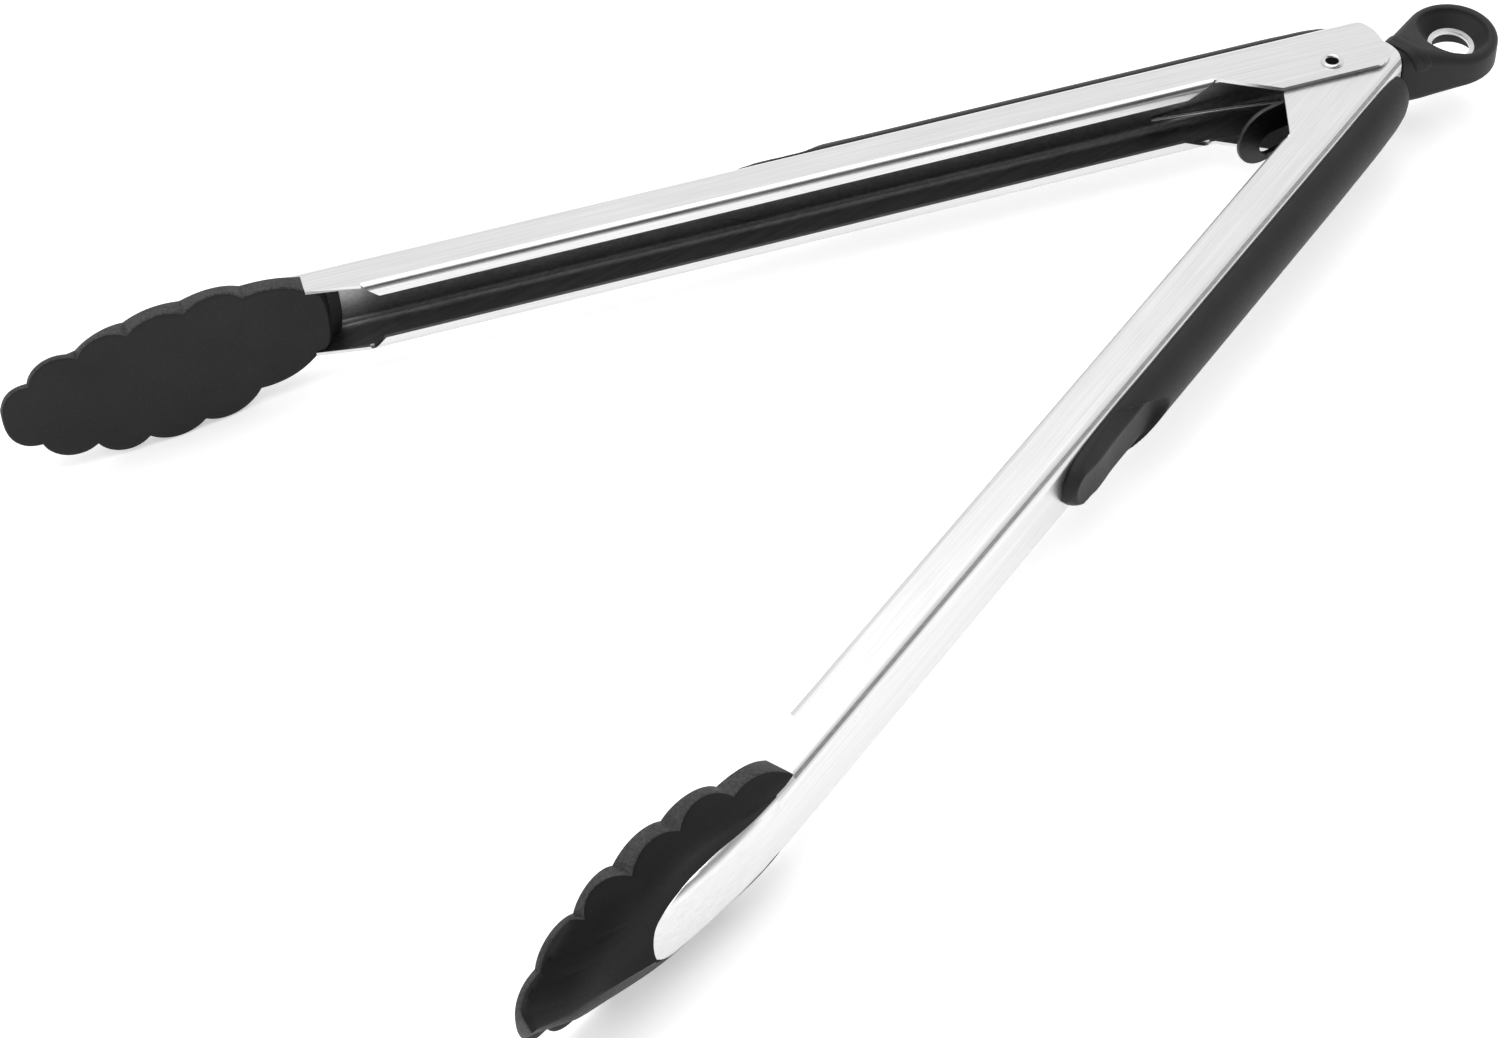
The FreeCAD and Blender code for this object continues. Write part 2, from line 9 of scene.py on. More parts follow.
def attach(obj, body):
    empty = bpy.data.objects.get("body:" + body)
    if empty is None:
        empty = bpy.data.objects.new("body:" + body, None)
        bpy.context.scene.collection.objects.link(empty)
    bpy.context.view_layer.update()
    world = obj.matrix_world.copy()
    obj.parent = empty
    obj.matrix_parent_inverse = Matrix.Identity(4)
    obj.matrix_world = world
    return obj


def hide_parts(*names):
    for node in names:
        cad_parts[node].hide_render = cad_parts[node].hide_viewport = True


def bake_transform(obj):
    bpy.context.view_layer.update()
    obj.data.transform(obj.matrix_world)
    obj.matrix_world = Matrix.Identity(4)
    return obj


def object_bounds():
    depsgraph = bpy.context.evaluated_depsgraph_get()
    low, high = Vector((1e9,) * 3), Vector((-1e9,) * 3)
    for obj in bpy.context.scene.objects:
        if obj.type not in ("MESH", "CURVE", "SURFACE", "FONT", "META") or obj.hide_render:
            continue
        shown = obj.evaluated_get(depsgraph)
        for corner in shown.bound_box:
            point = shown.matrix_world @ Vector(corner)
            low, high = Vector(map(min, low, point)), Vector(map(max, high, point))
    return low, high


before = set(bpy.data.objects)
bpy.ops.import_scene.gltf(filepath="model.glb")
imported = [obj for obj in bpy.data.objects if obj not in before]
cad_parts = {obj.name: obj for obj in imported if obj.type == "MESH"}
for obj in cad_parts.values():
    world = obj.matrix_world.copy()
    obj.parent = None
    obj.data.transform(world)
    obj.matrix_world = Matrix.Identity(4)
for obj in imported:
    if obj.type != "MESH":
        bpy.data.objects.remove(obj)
cad_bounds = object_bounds()

# Shapes are drawn in millimetres in the arm frame (a from the pivot to the
# head, b away from the other arm, z across) or the slider frame (s out of the
# tail, n to the outer arm's side, z) and scaled to metres when made.
MM = 0.001

# ---- the frame's own dimensions, as in part.py --------------------------------
HALF_ANGLE = math.radians(19.06)
SLIDER_LEAN = math.radians(4.0)
SHEET = 0.85
OUTER_HALF = 9.15
INNER_HALF = OUTER_HALF - SHEET - 0.10
BACK = 12.5
BEND = 2.6
CHEEK_END = 227.4
TONGUE_END = 268.9
TONGUE_RADIUS = 184.0
REACH = 293.0

INNER_PLACE = Matrix.Rotation(math.pi + HALF_ANGLE, 4, "Z")
OUTER_PLACE = Matrix.Rotation(math.pi - HALF_ANGLE, 4, "Z") @ Matrix.Rotation(math.pi, 4, "X")
SLIDER_PLACE = Matrix.Rotation(-SLIDER_LEAN, 4, "Z")


# ---- materials ------------------------------------------------------------------
STEEL_GRAIN = (40, 2600, 2600)          # per metre: long along the arm, fine across it
STEEL_CLOUD = (60, 140, 140)
CLOUD_SHARE = 0.6                       # of the cloud in the steel's roughness, the rest is grain
STEEL_BUMP = 0.000012
MOULD_CLOUD = 90.0


def new_material(name):
    material = bpy.data.materials.new(name)
    material.use_nodes = True
    nodes = material.node_tree.nodes
    return material, nodes, material.node_tree.links, nodes["Principled BSDF"]


def object_coordinates(nodes, links, scale, turn=0.0):
    """Object coordinates turned about Z and scaled, in 1/m."""
    place = nodes.new("ShaderNodeTexCoord")
    spin = nodes.new("ShaderNodeMapping")
    spin.inputs["Rotation"].default_value = (0, 0, turn)
    stretch = nodes.new("ShaderNodeMapping")
    stretch.inputs["Scale"].default_value = scale
    links.new(place.outputs["Object"], spin.inputs["Vector"])
    links.new(spin.outputs["Vector"], stretch.inputs["Vector"])
    return stretch.outputs["Vector"]


def noise(nodes, links, vector, scale, detail=2.0, rough=0.5):
    texture = nodes.new("ShaderNodeTexNoise")
    texture.inputs["Scale"].default_value = scale
    texture.inputs["Detail"].default_value = detail
    texture.inputs["Roughness"].default_value = rough
    links.new(vector, texture.inputs["Vector"])
    return texture.outputs["Fac"]


def remap(nodes, links, value, low, high, from_low=0.0, from_high=1.0):
    mapper = nodes.new("ShaderNodeMapRange")
    mapper.inputs["From Min"].default_value = from_low
    mapper.inputs["From Max"].default_value = from_high
    mapper.inputs["To Min"].default_value = low
    mapper.inputs["To Max"].default_value = high
    links.new(value, mapper.inputs["Value"])
    return mapper.outputs["Result"]


def shade(nodes, links, value, dark, light, low=0.0, high=1.0):
    """A colour between dark and light."""
    ramp = nodes.new("ShaderNodeValToRGB")
    ramp.color_ramp.elements[0].position = low
    ramp.color_ramp.elements[0].color = (*dark, 1)
    ramp.color_ramp.elements[1].position = high
    ramp.color_ramp.elements[1].color = (*light, 1)
    links.new(value, ramp.inputs["Fac"])
    return ramp.outputs["Color"]


def bump(nodes, links, height, distance):
    node = nodes.new("ShaderNodeBump")
    node.inputs["Strength"].default_value = 1.0
    node.inputs["Distance"].default_value = distance
    links.new(height, node.inputs["Height"])
    return node.outputs["Normal"]


def brushed_steel(name, turn, light, dark, rough=(0.24, 0.36)):
    """Stainless sheet with its grain running along the arm."""
    material, nodes, links, shader = new_material(name)
    grain_space = object_coordinates(nodes, links, STEEL_GRAIN, turn)
    grain = noise(nodes, links, grain_space, 1.0, detail=3.0, rough=0.6)
    cloud_space = object_coordinates(nodes, links, STEEL_CLOUD, turn)
    cloud = noise(nodes, links, cloud_space, 1.0, detail=3.0)
    shader.inputs["Metallic"].default_value = 1.0
    colour = shade(nodes, links, grain, (dark,) * 3, (light,) * 3, 0.3, 0.7)
    links.new(colour, shader.inputs["Base Color"])
    mixed = nodes.new("ShaderNodeMath")
    mixed.operation = "MULTIPLY_ADD"
    links.new(cloud, mixed.inputs[0])
    mixed.inputs[1].default_value = CLOUD_SHARE
    links.new(remap(nodes, links, grain, 0.0, 1 - CLOUD_SHARE), mixed.inputs[2])
    roughness = remap(nodes, links, mixed.outputs[0], rough[0], rough[1], 0.2, 0.8)
    links.new(roughness, shader.inputs["Roughness"])
    links.new(bump(nodes, links, grain, STEEL_BUMP), shader.inputs["Normal"])
    return material


def moulded_plastic(name, dark, light, rough, grain_scale, grain_depth, gloss=0.25, speckle=0.0, sheen=0.0):
    """Black moulded surface: fine spark texture over a faint cloud."""
    material, nodes, links, shader = new_material(name)
    space = object_coordinates(nodes, links, (1, 1, 1))
    spark = noise(nodes, links, space, grain_scale, detail=2.0, rough=0.7)
    cloud = noise(nodes, links, space, MOULD_CLOUD, detail=3.0)
    mixed = nodes.new("ShaderNodeMix")
    mixed.inputs["Factor"].default_value = speckle
    links.new(cloud, mixed.inputs["A"])
    links.new(spark, mixed.inputs["B"])
    links.new(shade(nodes, links, mixed.outputs["Result"], (dark,) * 3, (light,) * 3, 0.35, 0.65),
              shader.inputs["Base Color"])
    shader.inputs["Specular IOR Level"].default_value = gloss
    links.new(remap(nodes, links, spark, rough[0], rough[1], 0.3, 0.7), shader.inputs["Roughness"])
    links.new(bump(nodes, links, spark, grain_depth), shader.inputs["Normal"])
    shader.inputs["Sheen Weight"].default_value = sheen
    shader.inputs["Sheen Roughness"].default_value = 0.4
    return material


OUTER_STEEL = brushed_steel("outer_arm_steel", -(math.pi - HALF_ANGLE), light=0.76, dark=0.66)
INNER_STEEL = brushed_steel("inner_arm_steel", -(math.pi + HALF_ANGLE), light=0.78, dark=0.68)
SLIDER_STEEL = brushed_steel("slider_steel", SLIDER_LEAN, light=0.70, dark=0.60, rough=(0.25, 0.4))
RIVET_STEEL = brushed_steel("rivet_steel", 0.0, light=0.72, dark=0.66, rough=(0.18, 0.26))
WIRE_STEEL = brushed_steel("spring_wire", 0.0, light=0.6, dark=0.5, rough=(0.2, 0.3))
# painted shade: a darker copy of the arm steel for the faces inside the channels, which lie in shadow
SHADED_INSIDE_STEEL = brushed_steel("inside_steel_painted_shade", 0.0, light=0.42, dark=0.30, rough=(0.28, 0.40))
PLATE_STEEL = brushed_steel("slider_plate_steel", SLIDER_LEAN, light=0.07, dark=0.04, rough=(0.30, 0.42))
NYLON = moulded_plastic("nylon", 0.004, 0.007, (0.45, 0.60), 2400.0, 0.00003)
# the wall's speckle is its real spark texture; its tone lighter than the face is painted light, as if the
# wall caught the overhead light
NYLON_WALL_SPECKLE_AND_LIGHT = moulded_plastic("nylon_wall_speckle_and_painted_light", 0.012, 0.060, (0.55, 0.75), 1500.0, 0.00007,
                             gloss=0.4, speckle=0.75)
ELASTOMER = moulded_plastic("elastomer", 0.010, 0.015, (0.55, 0.70), 3200.0, 0.00003,
                            gloss=0.35, sheen=0.08)


# ---- mesh helpers ------------------------------------------------------------------
SAME_POINT = 1e-7                       # metres; closer points are merged


def make_object(name, points, faces, place, material, second=None, second_faces=()):
    """A mesh object from points in millimetres in a local frame."""
    mesh = bpy.data.meshes.new(name)
    mesh.from_pydata([place @ (Vector(p) * MM) for p in points], [], faces)
    mesh.materials.append(material)
    if second:
        mesh.materials.append(second)
        for index in second_faces:
            mesh.polygons[index].material_index = 1
    mesh.validate()
    mesh.update()
    obj = bpy.data.objects.new(name, mesh)
    bpy.context.scene.collection.objects.link(obj)
    tidy_normals(obj)
    return obj


def tidy_normals(obj):
    work = bmesh.new()
    work.from_mesh(obj.data)
    bmesh.ops.remove_doubles(work, verts=work.verts, dist=SAME_POINT)
    bmesh.ops.recalc_face_normals(work, faces=work.faces)
    work.to_mesh(obj.data)
    work.free()


def smooth(obj, crease):
    """Smooth shading with creases where faces meet at more than this many degrees."""
    obj.data.polygons.foreach_set("use_smooth", [True] * len(obj.data.polygons))
    limit = math.radians(crease)
    work = bmesh.new()
    work.from_mesh(obj.data)
    for edge in work.edges:
        if len(edge.link_faces) == 2:
            edge.smooth = edge.calc_face_angle() < limit
    work.to_mesh(obj.data)
    work.free()


def ring_faces(rings, count, closed=True):
    """Quads between rings of equal size, numbered one after another."""
    faces = []
    span = count if closed else count - 1
    for row in range(rings - 1):
        for i in range(span):
            j = (i + 1) % count
            faces.append((row * count + i, row * count + j, (row + 1) * count + j, (row + 1) * count + i))
    return faces


def closed_rings(rings, count):
    """Quads between closed rings, and a face over each end."""
    last = (rings - 1) * count
    return ring_faces(rings, count) + [tuple(reversed(range(count))), tuple(range(last, last + count))]


def spline(table, column, at):
    """Smooth value of a table's column; column 0 is the station."""
    xs = np.array([row[0] for row in table], float)
    ys = np.array([row[column] for row in table], float)
    slopes = np.gradient(ys, xs)
    at = np.clip(at, xs[0], xs[-1])
    index = np.clip(np.searchsorted(xs, at) - 1, 0, len(xs) - 2)
    step = xs[index + 1] - xs[index]
    t = (at - xs[index]) / step
    return ((2 * t ** 3 - 3 * t ** 2 + 1) * ys[index] + (t ** 3 - 2 * t ** 2 + t) * step * slopes[index]
            + (3 * t ** 2 - 2 * t ** 3) * ys[index + 1] + (t ** 3 - t ** 2) * step * slopes[index + 1])


# ---- heads ----------------------------------------------------------------------------
# Where two lobes of the outline meet, as (a, half width), and how far each lobe stands out.
VALLEYS = [(240.0, 13.0), (252.75, 15.1), (264.8, 14.5), (275.5, 12.35), (286.4, 8.35)]
LOBE_RISES = [1.5, 2.7, 2.2, 2.7, 3.0]
LOBE_STEPS = 14
NOSE_STEPS = 32
NOSE_POWER = 2.4
LOBE_SLOPE = 0.6
ROOT_STEP = 0.25              # the head stands this much outside the arm at its root
HEAD_EDGE = 0.45              # radius round the face
RIM_EDGE = 0.35               # radius round the back
LEAST_WALL = 0.8
SPINE_END = 284.0
CORNER_GAP = 0.5              # softness of the corner between the crown and a lobe
CORNER_REACH = 3.0
MITRE_LIMIT = 0.6
BASE_SHARE = 0.75             # of the outline's half width, for the curve inside the lobes
BASE_MARGIN = 0.5
TONGUE_GAP = 0.12
POCKET_DROP = 0.35            # the pocket's floor lies this much under the tongue
POCKET_MIDDLE = 264.0
FACE_STOPS = (0.0, 0.25, 0.5, 0.75, 0.93, 1.0)
WALL_STOPS = (0.35, 0.7, 1.0)
SHOULDER_STOPS = (0.2, 0.4, 0.7, 1.0)
CROWN_STOPS = (0.25, 0.5, 0.75, 1.0)
# The back dips beside the tongue: its depth, then centre and reach along and across.
DIP_DEPTH = 1.05
DIP_A = (252.0, 7.0)
DIP_Z = (8.8, 2.4)
# Station, face, crown, rim half width, rim height, power of the fall.
HEAD_SECTIONS = [
    (227.4, 5.2, 12.4, 9.4, 9.9, 5.0),
    (240.0, 3.5, 12.1, 12.7, 7.7, 3.6),
    (252.75, 0.7, 10.8, 14.8, 5.1, 2.8),
    (264.8, -1.0, 8.8, 14.2, 3.4, 2.4),
    (275.5, -1.8, 6.85, 12.3, 0.7, 2.2),
    (286.4, -2.3, 4.15, 8.35, -1.4, 2.0),
    (291.0, -2.37, 1.0, 5.6, -1.7, 2.0),
    (293.5, -2.4, -1.4, 5.0, -1.8, 2.0),
]


def head_face(a):
    return spline(HEAD_SECTIONS, 1, a)


def head_crown(a, z):
    """Height of the back: a crown inside the rim, a slope on the lobes."""
    crown = spline(HEAD_SECTIONS, 2, a)
    rim_half = spline(HEAD_SECTIONS, 3, a)
    rim_b = spline(HEAD_SECTIONS, 4, a)
    power = spline(HEAD_SECTIONS, 5, a)
    across = np.abs(z)
    dip = DIP_DEPTH * np.exp(-((a - DIP_A[0]) / DIP_A[1]) ** 2 - ((across - DIP_Z[0]) / DIP_Z[1]) ** 2)
    inside = crown - dip - (crown - rim_b) * (across / rim_half) ** power
    outside = rim_b - LOBE_SLOPE * (across - rim_half)
    # the larger of the two, with a soft corner between them
    larger = (inside + outside + np.sqrt((inside - outside) ** 2 + CORNER_GAP ** 2)) / 2
    return larger - CORNER_GAP / 2 * (across > rim_half - CORNER_REACH)


def arc_points(start, end, rise, steps):
    """Arc from start to end that stands rise out of its chord, to the left."""
    start, end = np.array(start, float), np.array(end, float)
    chord = end - start
    length = np.hypot(*chord)
    radius = (length ** 2 / 4 + rise ** 2) / (2 * rise)
    left = np.array([-chord[1], chord[0]]) / length
    centre = (start + end) / 2 + left * (rise - radius)
    from_angle = math.atan2(*(start - centre)[::-1])
    half_sweep = math.asin(min(1.0, length / 2 / radius))
    angles = from_angle - np.linspace(0, 2 * half_sweep, steps, endpoint=False)
    return [tuple(centre + radius * np.array([math.cos(t), math.sin(t)])) for t in angles]


def head_outline(half):
    """Plan of the head, from the near root round the nose to the far root."""
    near = [(CHEEK_END, half + ROOT_STEP)] + VALLEYS
    points = []
    for start, end, rise in zip(near[:-1], near[1:], LOBE_RISES):
        points += arc_points(start, end, rise, LOBE_STEPS)
    far = [(a, -z) for a, z in reversed(points)]
    nose_start, nose_half = VALLEYS[-1]
    for turn in np.linspace(math.pi / 2, -math.pi / 2, NOSE_STEPS + 1):
        along = abs(math.cos(turn)) ** (2 / NOSE_POWER)
        across = math.copysign(abs(math.sin(turn)) ** (2 / NOSE_POWER), turn)
        points.append((nose_start + (REACH - nose_start) * along, nose_half * across))
    return points + far


def inset(points, distance):
    """Points moved inwards, along the bisector at a corner."""
    loop = np.array(points)
    before = np.roll(loop, 1, axis=0)
    after = np.roll(loop, -1, axis=0)
    before[0] = loop[0] + (0, 1)
    after[-1] = loop[-1] + (0, -1)

    def normal(v):
        v = v / np.linalg.norm(v, axis=1)[:, None]
        return np.stack([v[:, 1], -v[:, 0]], axis=1)

    n1, n2 = normal(loop - before), normal(after - loop)
    bisector = n1 + n2
    bisector /= np.linalg.norm(bisector, axis=1)[:, None]
    lengthen = 1 / np.clip((bisector * n1).sum(1), MITRE_LIMIT, 1)
    return loop + bisector * distance * lengthen[:, None]


def crown_base(half, outline):
    """A smooth curve inside the lobes, straight across from each outline point."""
    nose_start = VALLEYS[-1][0]
    envelope = [(CHEEK_END, half + ROOT_STEP)] + VALLEYS
    base = []
    for a, z in outline:
        if a > nose_start:
            base.append((nose_start + (a - nose_start) * BASE_SHARE, z * BASE_SHARE))
        else:
            wide = float(spline(envelope, 1, a))
            inside = max(wide * BASE_SHARE, min(wide - BASE_MARGIN, half + BASE_MARGIN))
            base.append((a, math.copysign(inside, z)))
    return np.array(base)


def tongue_plan(half, count):
    """Tongue outline with as many points as the head's, for matching rings."""
    nose = [(CHEEK_END, half - 0.8), (234.0, half - 0.35), (240.0, half - 0.2), (250.0, half - 0.15),
            (257.5, half - 0.5), (263.0, half - 1.7), (TONGUE_END - 2.0, half - 4.1), (TONGUE_END, 0.0)]
    full = nose + [(a, -z) for a, z in reversed(nose[:-1])]
    full = np.array(full)
    # smooth by a chord-length spline
    length = np.concatenate([[0], np.cumsum(np.linalg.norm(np.diff(full, axis=0), axis=1))])
    at = np.linspace(0, length[-1], count)
    table_a = list(zip(length, full[:, 0]))
    table_z = list(zip(length, full[:, 1]))
    return np.stack([spline(table_a, 1, at), spline(table_z, 1, at)], axis=1)


def tongue_surface(half, a, z):
    """Height of the steel's outer surface over the head."""
    along = BACK - (a - CHEEK_END) ** 2 / (2 * TONGUE_RADIUS)
    # stops just short of the bend's end, where its slope is infinite
    over = np.clip(np.abs(z) - (half - BEND), 0, BEND - 0.01)
    return along - (BEND - np.sqrt(BEND ** 2 - over ** 2))


def ring_at(plan, height):
    """A ring of points from its plan and its heights."""
    return [(a, b, z) for (a, z), b in zip(plan, height)]


def head_face_rings(outline):
    """The face towards the other head, from its spine outwards."""
    spine = np.array([(min(a, SPINE_END), 0.0) for a, z in outline])
    inner = inset(outline, HEAD_EDGE)
    rings = []
    for t in FACE_STOPS:
        plan = spine + (inner - spine) * t
        rings.append(ring_at(plan, head_face(plan[:, 0])))
    return rings


def head_wall_rings(outline):
    """Rounded edge of the face, wall and rounded rim."""
    rings = []
    for turn in np.linspace(0, math.pi / 2, 5)[1:]:
        plan = inset(outline, HEAD_EDGE * (1 - math.sin(turn)))
        rings.append(ring_at(plan, head_face(plan[:, 0]) + HEAD_EDGE * (1 - math.cos(turn))))
    outer = np.array(outline)
    foot = head_face(outer[:, 0]) + HEAD_EDGE
    rim = np.maximum(head_crown(outer[:, 0], outer[:, 1]), foot + LEAST_WALL)
    for t in WALL_STOPS:
        rings.append(ring_at(outer, foot + (rim - RIM_EDGE - foot) * t))
    for turn in np.linspace(0, math.pi / 2, 4)[1:]:
        plan = inset(outline, RIM_EDGE * (1 - math.cos(turn)))
        top = np.maximum(head_crown(plan[:, 0], plan[:, 1]), foot + LEAST_WALL)
        rings.append(ring_at(plan, top - RIM_EDGE * (1 - math.sin(turn))))
    return rings


def head_crown_rings(outline, half):
    """The back, in to the tongue's edge, down the gap and across the pocket."""
    shoulder = inset(outline, RIM_EDGE)
    tongue = tongue_plan(half, len(outline))
    gap = inset(tongue, -TONGUE_GAP)
    base = crown_base(half, outline)
    plans = [shoulder + (base - shoulder) * t for t in SHOULDER_STOPS]
    plans += [base + (gap - base) * t for t in CROWN_STOPS]
    rings = []
    for plan in plans:
        least = head_face(plan[:, 0]) + HEAD_EDGE + LEAST_WALL
        rings.append(ring_at(plan, np.maximum(head_crown(plan[:, 0], plan[:, 1]), least)))
    rings.append(ring_at(gap, tongue_surface(half, gap[:, 0], gap[:, 1]) - SHEET - POCKET_DROP))
    level = np.zeros(len(outline))
    middle = np.stack([np.minimum(tongue[:, 0], POCKET_MIDDLE), level], axis=1)
    for t in (0.5, 1.0):
        plan = gap + (middle - gap) * t
        rings.append(ring_at(plan, tongue_surface(half, plan[:, 0], level) - SHEET - POCKET_DROP))
    return rings


def head_mesh(name, half, place):
    """Scalloped head with rounded edges and a pocket for the tongue."""
    outline = head_outline(half)
    count = len(outline)
    face = head_face_rings(outline)
    wall = head_wall_rings(outline)
    rings = face + wall + head_crown_rings(outline, half)
    points = [p for ring in rings for p in ring]
    faces = ring_faces(len(rings), count, closed=False)
    # root wall between the two ends of every ring
    starts = [row * count for row in range(len(rings))]
    faces.append(tuple(starts + [start + count - 1 for start in reversed(starts)]))
    # the speckled wall, painted lighter than the face as if lit from above, ends one ring below the top of
    # the rounded rim
    wall_end = len(face) + len(wall) - 2
    walls = list(range(len(face) * (count - 1), wall_end * (count - 1))) + [len(faces) - 1]
    return make_object(name, points, faces, place, NYLON, NYLON_WALL_SPECKLE_AND_LIGHT, walls)


PLUG_START = 223.0
PLUG_ROUND = 1.8              # how far its rounded end stands out towards the pivot
PLUG_FIT = 0.05
PLUG_OVERLAP = 2.0            # how far it runs into the head
PLUG_TAPER_A = 0.6            # the foot's edge is drawn in by this much along
PLUG_TAPER_Z = 0.04           # and by this share across
# Shift along the arm, height, and 1 where the edge is drawn in.
PLUG_LEVELS = [
    (0.0, 5.25, 1.0), (0.0, 5.9, 0.0), (-0.4, 8.0, 0.0), (-3.0, 9.2, 0.0),
    (-3.2, BACK - SHEET - PLUG_FIT, 0.0),
]


def plug_mesh(name, half, place):
    """The head's rounded root between the cheeks."""
    wide = half - SHEET - PLUG_FIT
    outline = []
    for t in np.linspace(-1, 1, 17):
        a = PLUG_START + PLUG_ROUND - PLUG_ROUND * math.sqrt(max(0.0, 1 - t * t))
        outline.append((a, wide * t))
    points = []
    for shift, height, drawn in PLUG_LEVELS:
        for a, z in outline:
            points.append((a + shift + drawn * PLUG_TAPER_A, height, z * (1 - PLUG_TAPER_Z * drawn)))
        points.append((CHEEK_END + PLUG_OVERLAP, height, wide))
        points.append((CHEEK_END + PLUG_OVERLAP, height, -wide))
    faces = closed_rings(len(PLUG_LEVELS), len(outline) + 2)
    return make_object(name, points, faces, place, NYLON)


def join_solids(first, second):
    """Boolean union of two closed meshes into the first."""
    modifier = first.modifiers.new("union", "BOOLEAN")
    modifier.operation = "UNION"
    modifier.solver = "EXACT"
    modifier.object = second
    apply_modifier(first, modifier)
    bpy.data.objects.remove(second)


def apply_modifier(obj, modifier):
    bpy.context.view_layer.objects.active = obj
    with bpy.context.temp_override(object=obj, active_object=obj):
        bpy.ops.object.modifier_apply(modifier=modifier.name)


def build_head(name, half, place, body, node):
    head = head_mesh(name, half, place)
    join_solids(head, plug_mesh(name + "_plug", half, place))
    smooth(head, crease=38)
    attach(head, body)
    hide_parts(node)


# ---- grips ---------------------------------------------------------------------------
GRIP_INSET = 1.35             # of the pad's edge from the arm's side
GRIP_FOOT = 11.5              # height where the section starts, 0.15 under the sheet's inner face
GRIP_SUNK = 0.35              # the underside lies this far inside the steel
GRIP_ROUNDNESS = 0.9
GRIP_POINTS = 49
# Narrow shadow gap where the pad meets the steel: its depth, the height where it
# ends, and the height over which it fades.
GAP_DEPTH = 0.35
GAP_TOP = 12.85
GAP_FADE = 0.3
# Station, half width as a share of the full one, crown height.
GRIP_LINE = [
    (-8.6, 0.45, 14.0), (-7.6, 0.76, 15.4), (-5.5, 0.90, 16.4), (-2.0, 0.975, 17.0), (5.0, 1.0, 17.4),
    (20.0, 1.0, 17.7), (50.0, 1.0, 17.8), (98.0, 1.0, 17.8), (123.0, 0.975, 17.8), (128.0, 0.93, 17.7),
    (131.5, 0.83, 17.5), (134.0, 0.62, 16.3), (135.4, 0.35, 14.5),
]
# Where the sections stand, as (from, to, how many): close together at the ends and
# at the thumb rest.
GRIP_STATIONS = [
    (-8.6, -5.0, 10), (-4.2, 10, 14), (14, 96, 22), (98, 112, 36), (113, 127, 20), (127.5, 135.4, 24),
]
# Thumb rest: a hollow that starts on a curve, with a swell at its far end.
REST_START = 101.0
REST_START_CURVE = 4.0
REST_RAMP = 3.2
REST_SHARPNESS = 6.0
REST_FLOOR = 15.45
REST_HALF = 3.9
REST_DISH = 0.22
REST_SIDE_SLOPE = 3.9
REST_LIP_A = 126.5
REST_LIP_REACH = 4.5
REST_LIP_RISE = 0.35
ABOVE_GRIP = 19.0


def grip_station(a, half, lift):
    """Section of a grip: half ellipse, cut down to the thumb rest."""
    wide = (half - GRIP_INSET) * float(spline(GRIP_LINE, 1, np.array([a]))[0])
    rise = float(spline(GRIP_LINE, 2, np.array([a]))[0]) + lift - GRIP_FOOT
    section = []
    for t in np.linspace(0, math.pi, GRIP_POINTS):
        z = wide * math.cos(t)
        b = GRIP_FOOT + rise * math.sin(t) ** GRIP_ROUNDNESS
        z *= 1 - GAP_DEPTH / wide * max(0.0, min(1.0, (GAP_TOP - b) / GAP_FADE))
        b = min(b, rest_height(a, z, half))
        section.append((a, b, z))
    return section


def rest_height(a, z, half):
    """Upper limit set by the thumb rest at (a, z)."""
    scale = (half - GRIP_INSET) / (INNER_HALF - GRIP_INSET)
    across = abs(z) / (REST_HALF * scale)
    start = REST_START + REST_START_CURVE * across ** 2
    into = (a - start) / REST_RAMP
    # a soft step from above the grip down to the rest's floor
    steep = max(-30.0, min(30.0, (into - 0.5) * REST_SHARPNESS))
    ramp = 1 / (1 + math.exp(-steep))
    lip = REST_LIP_RISE * math.exp(-((a - REST_LIP_A) / REST_LIP_REACH) ** 2)
    floor = REST_FLOOR + REST_DISH * across ** 2 + lip
    slope = max(0.0, across - 1.0) * REST_SIDE_SLOPE
    return ABOVE_GRIP - (ABOVE_GRIP - (floor - slope)) * ramp


def build_grip(name, half, place, body, node, lift):
    """Crowned pad, closed underneath inside the steel's back."""
    stations = np.concatenate([np.linspace(*stretch) for stretch in GRIP_STATIONS])
    underside = BACK - GRIP_SUNK
    points = []
    for a in stations:
        section = grip_station(a, half, lift)
        points += section
        points += [(a, underside, section[-1][2]), (a, underside, section[0][2])]
    ring = GRIP_POINTS + 2
    faces = ring_faces(len(stations), ring)
    faces.append(tuple(range(ring)))
    faces.append(tuple(reversed(range((len(stations) - 1) * ring, len(stations) * ring))))
    grip = make_object(name, points, faces, place, ELASTOMER)
    smooth(grip, crease=50)
    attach(grip, body)
    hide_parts(node)


# ---- pull tab ----------------------------------------------------------------------------
SLIDER_N = -2.45
PLATE = 1.0
RING_S = 32.6
RING_TILT = math.radians(6.0)
UPPER_LEAN = 0.06                       # rise of the upper face per millimetre across the ring
LEAN_START = 17.0
LEAN_SPAN = 10.0
LOWER_CUT = 0.3                         # the lower face of the ring lies this much nearer the eye
CUT_START = 19.0
CUT_SPAN = 10.0
TAB_START = 15.4
TAB_NECK_HALF = 3.7
TAB_R = 10.15
FUNNEL_FOOT_R = 5.15
FUNNEL_MOUTH_R = {1: 7.9, -1: 5.7}      # on the upper and the lower side
FUNNEL_LIP = 0.55
END_EDGE = 0.5
# Station, half height, radius of the rounded edge.
TAB_LINE = [
    (15.4, 7.0, 2.9), (19.5, 6.85, 2.9), (24.5, 5.7, 2.4),
    (30.0, 4.5, 1.8), (36.0, 4.0, 1.4), (43.1, 3.95, 1.3),
]
TAB_SPREAD = math.asin((TAB_R - TAB_NECK_HALF) / (RING_S - TAB_START))
TAB_PLACE = SLIDER_PLACE @ Matrix.Translation((0, SLIDER_N * MM, 0))


